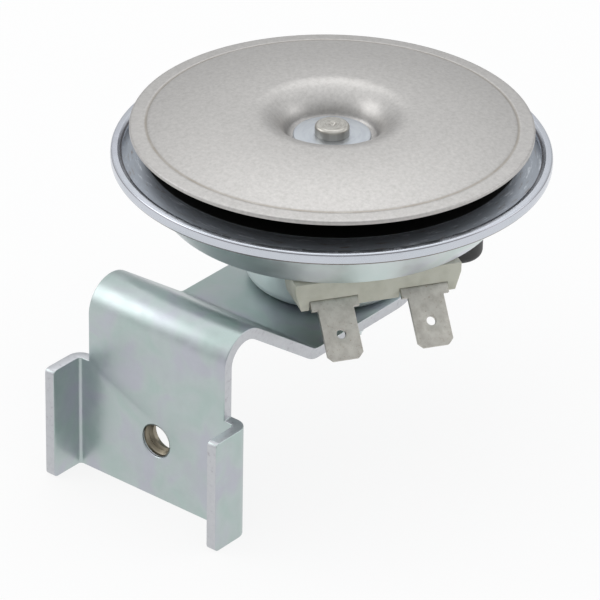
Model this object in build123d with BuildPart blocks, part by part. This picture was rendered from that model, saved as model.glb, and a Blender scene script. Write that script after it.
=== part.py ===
"""Electric disc horn on a folded steel bracket.

The origin is the bracket's tapped mounting hole, at the front face of its
upright plate.  +Y runs back towards the horn and +Z runs up the horn's axis,
through the resonator disc.  All sizes are in millimetres.
"""
import os
from math import cos, hypot, pi, radians, sin, sqrt, tan

from build123d import *

os.makedirs("parts", exist_ok=True)

# ---------------------------------------------------------------- bracket
STRIP_W = 30.0            # width of the steel strip
STRIP_T = 2.0             # its thickness
HORN_Y = 46.0             # horn axis behind the upright plate's front face
SHELF_Z = 13.2            # top of the rear shelf above the mounting hole
VALLEY_Y = 24.0           # where the slope meets the shelf
SLOPE_ANGLE = 35.2        # fall of the slope, in degrees
ARCH_R = 3.75             # inside radius of the arch bend
VALLEY_R = 2.5            # inside radius of the valley bend
PLATE_DROP = 11.1         # plate's lower edge below the mounting hole
TAB_SPAN = 38.0           # over the outsides of the two locating tabs
TAB_REACH = 6.7           # tabs forward of the plate's front face
TAB_H = 21.0              # height of a tab
TAB_BEND_R = 0.6          # inside radius of a tab's bend
TAB_CORNER_R = 0.9        # rounded corners of a tab
BOLT_R = 2.5              # tapped hole, at the thread's crests
COLLAR_R = 4.3            # outside of the hole's drawn collar
COLLAR_DEPTH = 3.7        # front face to the collar's end
MOUTH_R = 3.3             # rolled mouth of the tapped hole
MOUTH_DEPTH = 0.45

# ---------------------------------------------------------------- housing
SHEET_T = 0.8             # drawn steel of the housing
DRUM_R = 14.8             # coil drum, outside
DRUM_H = 13.6             # shelf to the underside of the bowl's floor
DRUM_EDGE_R = 2.5         # rounding round the drum's bottom
RIM_R = 38.0              # outside of the rolled rim
RIM_H = 2.4               # height of the rolled rim
RIM_ROLL_R = 0.75         # outside radius of its rolls
RIM_OVERHANG = 3.6        # rim beyond the neck of the bowl
RIM_FOOT_R = 0.4          # rounding of the rim's lower edge
LIP_W = 2.0               # outside of the rim to the edge of its lip
LIP_DROP = 0.85           # fall of the lip from its shoulder to its edge
LIP_BEND_W = 0.9          # width of the lip's bent edge
LIP_BEND_DROP = 0.65      # fall of the bent edge
LIP_BEND_R = 0.6
LIP_FLAT = 0.6            # width of the lip's edge that grips the diaphragm
BOWL_H = 9.1              # bowl floor to the underside of the rim
BOWL_NECK = 1.6           # rise of the flange, from the neck out to the rim
BOWL_NECK_R = 1.4         # rounding between the cone and the flange
CONE_RUN = 5.8            # spread of the cone, from the floor to the neck
BOWL_EDGE_R = 3.0         # rounding between cone and floor

# ------------------------------------------------------- diaphragm stack
GASKET_T = 0.3
DIAPHRAGM_T = 0.35
DIAPHRAGM_INSET = 1.3     # outside of the rim to the diaphragm's edge
DIAPHRAGM_GAP = 0.1       # diaphragm's edge to the wall of its recess
SEAT_W = 2.6              # width of the diaphragm's seat
MARGIN_FLAT = 0.4         # flat of the bare margin, seen inside the lip
MARGIN_W = 3.65           # whole bare margin, from the lip to the dome's edge
MARGIN_BEND_R = 2.0
STEP_RISE = 1.22          # rise across the margin
CROWN_RISE = 0.1          # further rise to the clamped centre
CLAMP_R = 9.0             # radius of the clamped centre
SPACER_T = 0.68
SPACER_R = 6.5
DISC_INSET = 3.25         # outside of the rim to the resonator disc's edge
DISC_T = 0.8
DISC_CROWN_R = 13.7       # radius of the disc's highest ring
DISC_CROWN_H = 2.4        # its height above the disc's edge
FUNNEL_R = 6.0            # radius of the funnel's shoulder
FUNNEL_ANGLE = 70.0       # steepest slope of the funnel
DISC_FLOOR_DROP = 2.8     # clamped floor below the disc's edge
WASHER_R = 6.75
WASHER_T = 1.0
RIVET_HEAD_R = 3.0
RIVET_HEAD_H = 1.9
RIVET_R = 2.5             # armature's stem through the stack
DIMPLE_R = 0.45           # centre mark in the rivet head
GROOVE_INSET = 2.85       # disc's edge to a fine ring pressed into it
GROOVE_W = 0.5
GROOVE_DEPTH = 0.2

# ---------------------------------------------------------- magnet system
ARMATURE_R = 9.0
PLUNGER_R = 6.2           # armature's lower end, inside the bobbin
POLE_R = 6.5
AIR_GAP = 0.8             # armature to pole
PLUNGER_DIP = 1.6         # plunger below the bowl's inside floor
STUD_R = 4.0              # M8 mounting stud below the pole
NUT_H = 6.5
NUT_AF = 13.0
NUT_CORNER = 0.9          # height of the nut's bevelled corners
LOCK_WASHER_R = 7.0
LOCK_WASHER_T = 1.8
LOCK_WASHER_SPLIT = 1.0
STUD_END = 1.0            # stud beyond the nut
BOBBIN_T = 0.8

# -------------------------------------------------------- terminal block
BLOCK_AZ = 57.5           # degrees from -Y towards +X, about the horn axis
BLOCK_W = 29.4
BLOCK_DRUM_GAP = 1.8      # back face to the drum
BLOCK_LEDGE = 5.0         # rivets to the front face
BLOCK_T = 3.3             # bowl floor down to the recesses for the blades
BLOCK_FOOT = 1.7          # ears and pad below the recesses
BLOCK_BACK_R = 4.0        # rounded corners of the block's back
EAR_FOOT_W = 1.4          # width of an ear's foot
SEAT_CLEAR = 0.1          # blade's shoulder to the ears and the pad
BLADE_PITCH = 16.0
BLADE_W = 6.3
BLADE_T = 0.8
BLADE_LEN = 10.7          # bend to tip
BLADE_LEAN = 44.0         # outward from the vertical, in degrees
SHOULDER_W = 8.4
SHOULDER_H = 1.8
BLADE_HOLE_R = 0.825
BLADE_HOLE_AT = 6.25      # bend to the hole
BLADE_TIP = 0.9           # corners cut off the tip
BLADE_FOOT = 8.0          # foot under the block, behind the bend
BLADE_BEND_R = 0.4
TERMINAL_RIVET_R = 1.5
TERMINAL_HEAD_R = 2.6
TERMINAL_HEAD_H = 0.7
TERMINAL_INSET = 0.7      # rivets inward from the middle of the bowl's floor
BOSS_R = 2.6              # block's insulating bosses through the floor

# -------------------------------------------------------- contact breaker
BASE_T = 1.2              # insulating base plate on the bowl's floor
ARM_T = 0.8
LEAF_T = 0.3
INSULATOR_T = 0.8
TOP_WASHER_T = 0.6
CONTACT_R = 1.6
CONTACT_AT = 6.4          # rivet to the contacts
BEAD_R = 0.8
BEAD_H = 0.8
BEAD_FROM_AXIS = 8.1
RELEASE_GAP = 0.35        # armature over the leaf's bead
SPRING_W = 5.0            # width of arm and leaf
TONGUE_W = 3.0
ADJUSTER_AZ = 107.0
ADJUSTER_OUTSET = 1.8     # screw outward from the middle of the bowl's floor
ADJUSTER_R = 2.0
ADJUSTER_HEAD_R = 2.7
ADJUSTER_HEAD_H = 1.5
DRIVE_AF = 2.5            # hexagon socket in the screw's head
DRIVE_DEPTH = 1.0
ADJUSTER_COLLAR_R = 3.2
ADJUSTER_COLLAR_H = 1.6
CAP_R = 4.4
CAP_H = 4.6
CAP_WALL = 1.1
CAP_EDGE_R = 1.4
RESISTOR_R = 1.4
RESISTOR_LEN = 6.0
CONTACT_GAP = 0.02        # between the two contact points

CLEAR = 0.05              # clearance round stems, studs and screws
THREAD_CLEAR = 0.02       # nut on the stud's thread
SEAT_GAP = 0.3            # bobbin and coil to the drum


def polar(azimuth, radius):
    """Point on the plan at an azimuth and distance from the horn axis."""
    return (radius * sin(radians(azimuth)), HORN_Y - radius * cos(radians(azimuth)))


def axis_plane(z):
    """Level plane at height z with its origin on the horn axis."""
    return Plane(origin=(0, HORN_Y, z), x_dir=(1, 0, 0), z_dir=(0, 0, 1))


# Half plane through the horn axis: x is the radius, y the height.
HALF = Plane(origin=(0, HORN_Y, 0), x_dir=(1, 0, 0), z_dir=(0, -1, 0))
HORN_AXIS = Axis((0, HORN_Y, 0), (0, 0, 1))

# Radii, all carried in from the rim and out from the drum.
bowl_top_r = RIM_R - RIM_OVERHANG             # neck under the flange
bowl_floor_r = bowl_top_r - CONE_RUN          # where cone and floor would meet
lip_r = RIM_R - LIP_W                         # inner edge of the lip
margin_r = lip_r - MARGIN_W                   # edge of the diaphragm's dome
diaphragm_r = RIM_R - DIAPHRAGM_INSET
seat_r = diaphragm_r - SEAT_W
disc_r = RIM_R - DISC_INSET
mid_floor_r = (DRUM_R + bowl_floor_r) / 2
terminal_at = mid_floor_r - TERMINAL_INSET    # rivets, from the horn axis
adjuster_at = mid_floor_r + ADJUSTER_OUTSET
block_front_at = terminal_at + BLOCK_LEDGE
block_back_at = DRUM_R + BLOCK_DRUM_GAP

# Heights, all carried up from the shelf.
floor_z = SHELF_Z + DRUM_H                    # underside of the bowl's floor
inner_floor_z = floor_z + SHEET_T
rim_z = floor_z + BOWL_H                      # underside of the rolled rim
rim_top_z = rim_z + RIM_H
lip_z = rim_top_z - LIP_DROP                  # top of the lip's inner edge
margin_top_z = lip_z - SHEET_T                # diaphragm's margin, top
margin_z = margin_top_z - DIAPHRAGM_T
seat_z = margin_z - GASKET_T
centre_z = margin_z + STEP_RISE + CROWN_RISE  # underside of clamped centre
centre_top_z = centre_z + DIAPHRAGM_T
disc_floor_z = centre_top_z + SPACER_T        # underside of the disc's floor
disc_edge_z = disc_floor_z + DISC_T + DISC_FLOOR_DROP
washer_z = disc_floor_z + DISC_T
washer_top_z = washer_z + WASHER_T
pole_top_z = inner_floor_z - PLUNGER_DIP - AIR_GAP
block_z = floor_z - BLOCK_T                   # recess above the blades' feet
base_top_z = inner_floor_z + BASE_T
arm_top_z = base_top_z + ARM_T
leaf_z = arm_top_z + INSULATOR_T
leaf_top_z = leaf_z + LEAF_T
clamp_top_z = leaf_top_z + TOP_WASHER_T
armature_z = leaf_top_z + BEAD_H + RELEASE_GAP

# The terminal block's own frame: across to the right and out from the axis.
block_across = Vector(cos(radians(BLOCK_AZ)), sin(radians(BLOCK_AZ)), 0)
block_out = Vector(sin(radians(BLOCK_AZ)), -cos(radians(BLOCK_AZ)), 0)
block_plane = Plane(origin=(0, HORN_Y, floor_z), x_dir=block_across, z_dir=(0, 0, 1))
rivet_spots = [(-BLADE_PITCH / 2, -terminal_at), (BLADE_PITCH / 2, -terminal_at)]
adjuster_xy = polar(ADJUSTER_AZ, adjuster_at)

# ============================================================== bracket
# Front and top face of the strip, from the plate's lower edge to the tail.
arch_corner_z = SHELF_Z + VALLEY_Y * tan(radians(SLOPE_ANGLE))
tail_y = HORN_Y + STRIP_W / 2
tab_top_z = TAB_H - PLATE_DROP
tab_x = TAB_SPAN / 2

with BuildPart() as bracket:
    with BuildSketch(Plane.YZ) as strip_section:
        with BuildLine() as strip_line:
            FilletPolyline(
                (0, -PLATE_DROP),
                (0, arch_corner_z),
                (VALLEY_Y, SHELF_Z),
                (tail_y, SHELF_Z),
                radius=[ARCH_R + STRIP_T, VALLEY_R],
            )
            offset(amount=STRIP_T, side=Side.RIGHT)
        make_face()
    extrude(amount=STRIP_W / 2, both=True)
    # The tail is rounded about the horn axis.
    with BuildSketch(Plane.XY.offset(-PLATE_DROP)) as strip_plan:
        with Locations((0, HORN_Y / 2)):
            Rectangle(STRIP_W, HORN_Y)
        with Locations((0, HORN_Y)):
            Circle(STRIP_W / 2)
    extrude(amount=PLATE_DROP + arch_corner_z, mode=Mode.INTERSECT)
    # Tabs folded forward from the sides of the upright plate.
    with BuildSketch(Plane.XY.offset(-PLATE_DROP)) as tab_section:
        with BuildLine() as tab_line:
            FilletPolyline(
                (STRIP_W / 2 - STRIP_T, STRIP_T),
                (tab_x, STRIP_T),
                (tab_x, -TAB_REACH),
                radius=TAB_BEND_R + STRIP_T,
            )
            offset(amount=STRIP_T, side=Side.RIGHT)
        make_face()
        mirror(about=Plane.YZ)
    extrude(amount=TAB_H)
    front_corners = bracket.edges().filter_by(Axis.X).group_by(Axis.Y)[0]
    fillet(front_corners, radius=TAB_CORNER_R)
    # Mounting hole with its drawn collar and rolled mouth.
    with BuildSketch(Plane.XZ.offset(-STRIP_T)) as collar_section:
        Circle(COLLAR_R)
    extrude(amount=-(COLLAR_DEPTH - STRIP_T))
    with BuildSketch(Plane.XZ) as bolt_section:
        Circle(BOLT_R)
    extrude(amount=-COLLAR_DEPTH, mode=Mode.SUBTRACT)
    with BuildSketch(Plane.XZ) as mouth_section:
        Circle(MOUTH_R)
    with BuildSketch(Plane.XZ.offset(-MOUTH_DEPTH)) as mouth_end:
        Circle(BOLT_R)
    loft(mode=Mode.SUBTRACT)
    with BuildSketch(axis_plane(SHELF_Z)) as stud_hole:
        Circle(STUD_R + CLEAR)
    extrude(amount=-STRIP_T, mode=Mode.SUBTRACT)

# ============================================================== housing
cone_top_z = rim_z - BOWL_NECK
cone_rise = cone_top_z - floor_z
cone_wall = SHEET_T * hypot(CONE_RUN, cone_rise) / cone_rise   # measured level


def inside_cone_r(z):
    """Radius of the cone's inner face at height z."""
    return bowl_floor_r - cone_wall + (z - floor_z) * CONE_RUN / cone_rise


recess_r = diaphragm_r + DIAPHRAGM_GAP
roll_r = RIM_R - SHEET_T                     # inside of the rolled rim
ledge_z = floor_z + (seat_r - inside_cone_r(floor_z)) * cone_rise / CONE_RUN

with BuildPart() as housing:
    with BuildSketch(HALF) as shell_section:
        with BuildLine() as shell_line:
            FilletPolyline(
                (STUD_R + CLEAR, SHELF_Z),
                (DRUM_R, SHELF_Z),
                (DRUM_R, floor_z),
                (bowl_floor_r, floor_z),
                (bowl_top_r, cone_top_z),
                (RIM_R, rim_z),
                (RIM_R, rim_top_z),
                (lip_r + LIP_BEND_W, lip_z + LIP_BEND_DROP),
                (lip_r, lip_z),
                radius=[
                    DRUM_EDGE_R,
                    SHEET_T,
                    BOWL_EDGE_R,
                    BOWL_NECK_R,
                    RIM_FOOT_R,
                    RIM_ROLL_R,
                    LIP_BEND_R,
                ],
            )
            Polyline(
                (lip_r, lip_z),
                (lip_r, margin_top_z),
                (lip_r + LIP_FLAT, margin_top_z),
                (roll_r, rim_top_z - 1.5 * SHEET_T),
                (roll_r, margin_z),
                (recess_r, margin_z),
                (recess_r, seat_z),
                (seat_r, seat_z),
                (seat_r, ledge_z),
            )
            FilletPolyline(
                (seat_r, ledge_z),
                (inside_cone_r(inner_floor_z), inner_floor_z),
                (DRUM_R - SHEET_T, inner_floor_z),
                (DRUM_R - SHEET_T, SHELF_Z + SHEET_T),
                (STUD_R + CLEAR, SHELF_Z + SHEET_T),
                radius=[BOWL_EDGE_R - SHEET_T, 2 * SHEET_T, DRUM_EDGE_R - SHEET_T],
            )
            Line((STUD_R + CLEAR, SHELF_Z + SHEET_T), (STUD_R + CLEAR, SHELF_Z))
        make_face()
    revolve(axis=HORN_AXIS)
    # Collar tapped for the adjusting screw.
    with BuildSketch(Plane.XY.offset(floor_z)) as adjuster_collar:
        with Locations(adjuster_xy):
            Circle(ADJUSTER_COLLAR_R)
    extrude(amount=-ADJUSTER_COLLAR_H)
    with BuildSketch(Plane.XY.offset(inner_floor_z)) as adjuster_bore:
        with Locations(adjuster_xy):
            Circle(ADJUSTER_R + CLEAR)
    extrude(amount=-(SHEET_T + ADJUSTER_COLLAR_H), mode=Mode.SUBTRACT)
    # Holes for the terminal block's insulating bosses.
    with BuildSketch(block_plane) as boss_holes:
        with Locations(*rivet_spots):
            Circle(BOSS_R + CLEAR)
    extrude(amount=SHEET_T, mode=Mode.SUBTRACT)


# ===================================================== diaphragm and gasket
with BuildPart() as diaphragm_gasket:
    with BuildSketch(axis_plane(seat_z)) as gasket_ring:
        Circle(diaphragm_r)
        Circle(seat_r, mode=Mode.SUBTRACT)
    extrude(amount=GASKET_T)

# Margin bent up from under the lip, then a shallow dome to the clamped centre.
with BuildPart() as diaphragm:
    with BuildSketch(HALF) as diaphragm_section:
        with BuildLine() as diaphragm_line:
            FilletPolyline(
                (diaphragm_r, margin_z),
                (lip_r - MARGIN_FLAT, margin_z),
                (margin_r, margin_z + STEP_RISE),
                (CLAMP_R, centre_z),
                (RIVET_R + CLEAR, centre_z),
                radius=MARGIN_BEND_R,
            )
            offset(amount=DIAPHRAGM_T, side=Side.RIGHT)
        make_face()
    revolve(axis=HORN_AXIS)

# ================================================== resonator and its stack
with BuildPart() as disc_spacer:
    with BuildSketch(axis_plane(centre_top_z)) as spacer_ring:
        Circle(SPACER_R)
        Circle(RIVET_R, mode=Mode.SUBTRACT)
    extrude(amount=SPACER_T)

# Top face of the disc: a crowned ring round a funnel with a flat floor.
disc_top_z = disc_edge_z + DISC_CROWN_H
crown_span = disc_r - DISC_CROWN_R
crown_arc_r = (crown_span ** 2 + DISC_CROWN_H ** 2) / (2 * DISC_CROWN_H)
half_span = crown_span / 2
crown_mid = (
    DISC_CROWN_R + half_span,
    disc_top_z - crown_arc_r + sqrt(crown_arc_r ** 2 - half_span ** 2),
)
half_turn = radians(FUNNEL_ANGLE / 2)
full_turn = radians(FUNNEL_ANGLE)
shoulder_mid = (
    DISC_CROWN_R - FUNNEL_R * sin(half_turn),
    disc_top_z - FUNNEL_R * (1 - cos(half_turn)),
)
shoulder_end = (
    DISC_CROWN_R - FUNNEL_R * sin(full_turn),
    disc_top_z - FUNNEL_R * (1 - cos(full_turn)),
)
throat_r = shoulder_end[0] - (shoulder_end[1] - washer_z) / tan(full_turn)

with BuildPart() as resonator_disc:
    with BuildSketch(HALF) as disc_section:
        with BuildLine() as disc_line:
            ThreePointArc((disc_r, disc_edge_z), crown_mid, (DISC_CROWN_R, disc_top_z))
            ThreePointArc((DISC_CROWN_R, disc_top_z), shoulder_mid, shoulder_end)
            FilletPolyline(
                shoulder_end,
                (throat_r, washer_z),
                (RIVET_R, washer_z),
                radius=DISC_T / 2,
            )
            offset(amount=DISC_T, side=Side.LEFT)
        make_face()
    revolve(axis=HORN_AXIS)
    # Fine ring pressed into the top face near the edge.
    groove_r = disc_r - GROOVE_INSET
    groove_z = disc_top_z - crown_arc_r + sqrt(
        crown_arc_r ** 2 - (groove_r - DISC_CROWN_R) ** 2
    )
    with BuildSketch(HALF) as groove_section:
        with Locations((groove_r, groove_z)):
            Rectangle(GROOVE_W, 2 * GROOVE_DEPTH)
    revolve(axis=HORN_AXIS, mode=Mode.SUBTRACT)

with BuildPart() as disc_washer:
    with BuildSketch(axis_plane(washer_z)) as washer_ring:
        Circle(WASHER_R)
        Circle(RIVET_R, mode=Mode.SUBTRACT)
    extrude(amount=WASHER_T)

# ============================================================ magnet system
plunger_z = inner_floor_z - PLUNGER_DIP
head_top_z = washer_top_z + RIVET_HEAD_H

# One turned piece: plunger, armature, stem and the riveted head.
with BuildPart() as armature:
    with BuildSketch(HALF) as armature_section:
        with BuildLine() as armature_line:
            Polyline(
                (0, plunger_z),
                (PLUNGER_R, plunger_z),
                (PLUNGER_R, armature_z),
                (ARMATURE_R, armature_z),
                (ARMATURE_R, centre_z),
                (RIVET_R, centre_z),
                (RIVET_R, washer_top_z),
                (RIVET_HEAD_R, washer_top_z),
                (RIVET_HEAD_R, head_top_z - 0.5),
                (RIVET_HEAD_R - 0.4, head_top_z),
                (DIMPLE_R, head_top_z),
                (0, head_top_z - DIMPLE_R),
                close=True,
            )
        make_face()
    revolve(axis=HORN_AXIS)

nut_z = SHELF_Z - STRIP_T - LOCK_WASHER_T - NUT_H
stud_end_z = nut_z - STUD_END

# Pole inside the coil, with the M8 mounting stud below it.
with BuildPart() as pole_stud:
    with BuildSketch(axis_plane(stud_end_z)) as stud_section:
        Circle(STUD_R)
    extrude(amount=SHELF_Z + SHEET_T - stud_end_z)
    with BuildSketch(axis_plane(SHELF_Z + SHEET_T)) as pole_section:
        Circle(POLE_R)
    extrude(amount=pole_top_z - SHELF_Z - SHEET_T)
    chamfer(pole_stud.edges().sort_by(Axis.Z)[0], length=1.0)

bobbin_z = SHELF_Z + SHEET_T
bobbin_top_z = inner_floor_z - SHEET_T
bobbin_r = DRUM_R - SHEET_T - SEAT_GAP

with BuildPart() as coil_bobbin:
    with BuildSketch(HALF) as bobbin_section:
        with BuildLine() as bobbin_line:
            Polyline(
                (POLE_R + CLEAR, bobbin_top_z),
                (bobbin_r, bobbin_top_z),
                (bobbin_r, bobbin_top_z - BOBBIN_T),
                (POLE_R + BOBBIN_T, bobbin_top_z - BOBBIN_T),
                (POLE_R + BOBBIN_T, bobbin_z + BOBBIN_T),
                (bobbin_r - DRUM_EDGE_R, bobbin_z + BOBBIN_T),
                (bobbin_r - DRUM_EDGE_R, bobbin_z),
                (POLE_R + CLEAR, bobbin_z),
                close=True,
            )
        make_face()
    revolve(axis=HORN_AXIS)

with BuildPart() as coil_winding:
    with BuildSketch(axis_plane(bobbin_z + BOBBIN_T)) as winding_ring:
        Circle(bobbin_r - DRUM_EDGE_R)
        Circle(POLE_R + BOBBIN_T, mode=Mode.SUBTRACT)
    extrude(amount=bobbin_top_z - bobbin_z - 2 * BOBBIN_T)

# =========================================================== terminal block
def block_point(across, out, z):
    """Point across and out from the horn axis, in the block's own frame."""
    return Vector(0, HORN_Y, z) + block_across * across + block_out * out


def block_section(across):
    """Upright plane through the block, with x outward and y up."""
    return Plane(
        origin=block_point(across, 0, 0), x_dir=block_out, z_dir=-block_across
    )


block_depth = block_front_at - block_back_at
foot_z = block_z - BLOCK_FOOT                # bottom of the ears and the pad
front_plane = Plane(
    origin=block_point(0, block_front_at, 0), x_dir=block_across, z_dir=block_out
)

with BuildPart() as terminal_block:
    # Front outline: a bar with an ear at each end and a pad in the middle.
    with BuildSketch(front_plane) as block_front:
        with BuildLine() as block_line:
            half_w = BLOCK_W / 2
            ear_in = (BLADE_PITCH + SHOULDER_W) / 2 + SEAT_CLEAR
            pad_out = (BLADE_PITCH - SHOULDER_W) / 2 - SEAT_CLEAR
            Polyline(
                (0, floor_z),
                (half_w, floor_z),
                (half_w, block_z + BLOCK_FOOT),
                (ear_in + EAR_FOOT_W, foot_z),
                (ear_in, foot_z),
                (ear_in, block_z),
                (pad_out, block_z),
                (pad_out, foot_z),
                (0, foot_z),
                close=True,
            )
        make_face()
        mirror(about=Plane.YZ)
    extrude(amount=-block_depth)
    # The corners towards the adjusting screw's cap are rounded off.
    with BuildSketch(block_plane) as block_plan:
        with Locations((0, -(block_front_at + block_back_at) / 2)):
            Rectangle(BLOCK_W, block_depth)
        fillet(block_plan.vertices().group_by(Axis.Y)[-1], radius=BLOCK_BACK_R)
    extrude(amount=-(floor_z - foot_z), mode=Mode.INTERSECT)
    # Insulating bosses through the bowl's floor.
    with BuildSketch(block_plane) as bosses:
        with Locations(*rivet_spots):
            Circle(BOSS_R)
    extrude(amount=SHEET_T)
    with BuildSketch(block_plane.offset(SHEET_T)) as block_rivet_holes:
        with Locations(*rivet_spots):
            Circle(TERMINAL_RIVET_R)
    extrude(amount=-(SHEET_T + BLOCK_T), mode=Mode.SUBTRACT)


def make_blade(across):
    """Tab terminal: a foot riveted under the block and a blade bent outward."""
    lean = radians(BLADE_LEAN)
    tip = (block_front_at + BLADE_LEN * sin(lean), block_z - BLADE_LEN * cos(lean))
    blade_face = Plane(
        origin=block_point(across, block_front_at, block_z),
        x_dir=block_across,
        z_dir=block_out * cos(lean) + Vector(0, 0, sin(lean)),
    )
    narrow = (SHOULDER_W - BLADE_W) / 2
    narrow_len = 2 * (BLADE_LEN - SHOULDER_H)
    with BuildPart() as blade:
        with BuildSketch(block_section(across)) as blade_section:
            with BuildLine() as blade_line:
                FilletPolyline(
                    (block_front_at - BLADE_FOOT, block_z),
                    (block_front_at, block_z),
                    tip,
                    radius=BLADE_BEND_R + BLADE_T,
                )
                offset(amount=BLADE_T, side=Side.RIGHT)
            make_face()
        extrude(amount=SHOULDER_W / 2, both=True)
        # The blade is narrower than its shoulders, with its tip's corners cut.
        with BuildSketch(blade_face) as blade_cut:
            with Locations((0, -BLADE_LEN)):
                with Locations(
                    (-(SHOULDER_W - narrow) / 2, 0), ((SHOULDER_W - narrow) / 2, 0)
                ):
                    Rectangle(narrow, narrow_len)
                with Locations((-BLADE_W / 2, 0), (BLADE_W / 2, 0)):
                    RegularPolygon(BLADE_TIP, 4, rotation=0)
            with Locations((0, -BLADE_HOLE_AT)):
                Circle(BLADE_HOLE_R)
        extrude(amount=2 * BLADE_T, both=True, mode=Mode.SUBTRACT)
        with BuildSketch(block_plane.offset(-BLOCK_T)) as foot_hole:
            with Locations((across, -terminal_at)):
                Circle(TERMINAL_RIVET_R)
        extrude(amount=-BLADE_T, mode=Mode.SUBTRACT)
    return blade


terminal_blade_left = make_blade(-BLADE_PITCH / 2)
terminal_blade_right = make_blade(BLADE_PITCH / 2)

# ========================================================== contact breaker
breaker_rivet = block_point(BLADE_PITCH / 2, terminal_at, 0)
to_adjuster = Vector(*adjuster_xy, 0) - breaker_rivet
arm_len = to_adjuster.length


def arm_plane(z):
    """Level plane at the breaker's rivet, with x towards the adjusting screw."""
    return Plane(
        origin=breaker_rivet + Vector(0, 0, z), x_dir=to_adjuster, z_dir=(0, 0, 1)
    )


axis_in_arm = arm_plane(0).to_local_coords(Vector(0, HORN_Y, 0))
bead_spot = axis_in_arm * (1 - BEAD_FROM_AXIS / axis_in_arm.length)
contact_spot = Vector(CONTACT_AT, 0, 0)

with BuildPart() as contact_base:
    base_depth = 2 * TERMINAL_HEAD_R + 1
    with BuildSketch(block_plane.offset(SHEET_T)) as base_plate:
        with Locations((0, -terminal_at)):
            RectangleRounded(BLADE_PITCH + 2 * TERMINAL_HEAD_R + 1, base_depth, 1.5)
        with Locations(*rivet_spots):
            Circle(TERMINAL_RIVET_R, mode=Mode.SUBTRACT)
    extrude(amount=BASE_T)

with BuildPart() as fixed_contact_arm:
    with BuildSketch(arm_plane(base_top_z)) as arm_plan:
        with Locations((arm_len / 2, 0)):
            SlotCenterToCenter(arm_len, SPRING_W)
        Circle(TERMINAL_RIVET_R, mode=Mode.SUBTRACT)
    extrude(amount=ARM_T)

with BuildPart() as leaf_insulator:
    with BuildSketch(arm_plane(arm_top_z)) as insulator_plan:
        Circle(SPRING_W / 2)
        Circle(TERMINAL_RIVET_R, mode=Mode.SUBTRACT)
    extrude(amount=INSULATOR_T)
    with BuildSketch(arm_plane(leaf_top_z)) as clamp_plan:
        Circle(SPRING_W / 2)
        Circle(TERMINAL_RIVET_R, mode=Mode.SUBTRACT)
    extrude(amount=TOP_WASHER_T)

# Spring leaf with a tongue that reaches in under the armature's edge.
with BuildPart() as contact_leaf:
    with BuildSketch(arm_plane(leaf_z)) as leaf_plan:
        SlotCenterPoint(contact_spot / 2, contact_spot, SPRING_W)
        SlotCenterPoint((contact_spot + bead_spot) / 2, bead_spot, TONGUE_W)
        Circle(TERMINAL_RIVET_R, mode=Mode.SUBTRACT)
    extrude(amount=LEAF_T)

with BuildPart() as leaf_bead:
    with BuildSketch(arm_plane(leaf_top_z)) as bead_plan:
        with Locations(bead_spot):
            Circle(BEAD_R)
    extrude(amount=BEAD_H)

with BuildPart() as contact_points:
    with BuildSketch(arm_plane(arm_top_z)) as lower_point:
        with Locations(contact_spot):
            Circle(CONTACT_R)
    extrude(amount=INSULATOR_T / 2 - CONTACT_GAP)
    with BuildSketch(arm_plane(arm_top_z + INSULATOR_T / 2)) as upper_point:
        with Locations(contact_spot):
            Circle(CONTACT_R)
    extrude(amount=INSULATOR_T / 2)


def rivet_heads(across):
    """Height of the top head's underside over the pieces that a rivet clamps."""
    return clamp_top_z if across > 0 else base_top_z


# Two rivets clamp the blades, the block, the floor and the breaker together.
with BuildPart() as terminal_rivets:
    for across, inward in rivet_spots:
        top_z = rivet_heads(across)
        low_z = block_z - BLADE_T
        with BuildSketch(block_plane.offset(low_z - floor_z)) as rivet_shank:
            with Locations((across, inward)):
                Circle(TERMINAL_RIVET_R - CLEAR)
        extrude(amount=top_z - low_z)
        with BuildSketch(block_plane.offset(low_z - floor_z)) as rivet_low_head:
            with Locations((across, inward)):
                Circle(TERMINAL_HEAD_R)
        extrude(amount=-TERMINAL_HEAD_H, taper=20)
        with BuildSketch(block_plane.offset(top_z - floor_z)) as rivet_top_head:
            with Locations((across, inward)):
                Circle(SPRING_W / 2)
        extrude(amount=TERMINAL_HEAD_H, taper=20)

with BuildPart() as spark_resistor:
    resistor_plane = Plane(
        origin=block_point(0, terminal_at, base_top_z + RESISTOR_R),
        x_dir=block_out,
        z_dir=block_across,
    )
    with BuildSketch(resistor_plane.offset(-RESISTOR_LEN / 2)) as resistor_end:
        Circle(RESISTOR_R)
    extrude(amount=RESISTOR_LEN)

# ================================================= adjusting screw and cap
screw_head_z = floor_z - ADJUSTER_COLLAR_H
with BuildPart() as adjusting_screw:
    with BuildSketch(Plane.XY.offset(screw_head_z)) as screw_shank:
        with Locations(adjuster_xy):
            Circle(ADJUSTER_R)
    extrude(amount=base_top_z - screw_head_z)
    with BuildSketch(Plane.XY.offset(screw_head_z)) as screw_head:
        with Locations(adjuster_xy):
            Circle(ADJUSTER_HEAD_R)
    extrude(amount=-ADJUSTER_HEAD_H)
    with BuildSketch(Plane.XY.offset(screw_head_z - ADJUSTER_HEAD_H)) as screw_drive:
        with Locations(adjuster_xy):
            RegularPolygon(DRIVE_AF / 2, 6, major_radius=False)
    extrude(amount=DRIVE_DEPTH, mode=Mode.SUBTRACT)

cap_z = floor_z - CAP_H
with BuildPart() as adjuster_cap:
    with BuildSketch(Plane.XY.offset(floor_z)) as cap_outside:
        with Locations(adjuster_xy):
            Circle(CAP_R)
    extrude(amount=-CAP_H)
    fillet(adjuster_cap.edges().sort_by(Axis.Z)[0], radius=CAP_EDGE_R)
    with BuildSketch(Plane.XY.offset(floor_z)) as cap_inside:
        with Locations(adjuster_xy):
            Circle(ADJUSTER_COLLAR_R + CLEAR)
    extrude(amount=-(CAP_H - CAP_WALL), mode=Mode.SUBTRACT)

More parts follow.
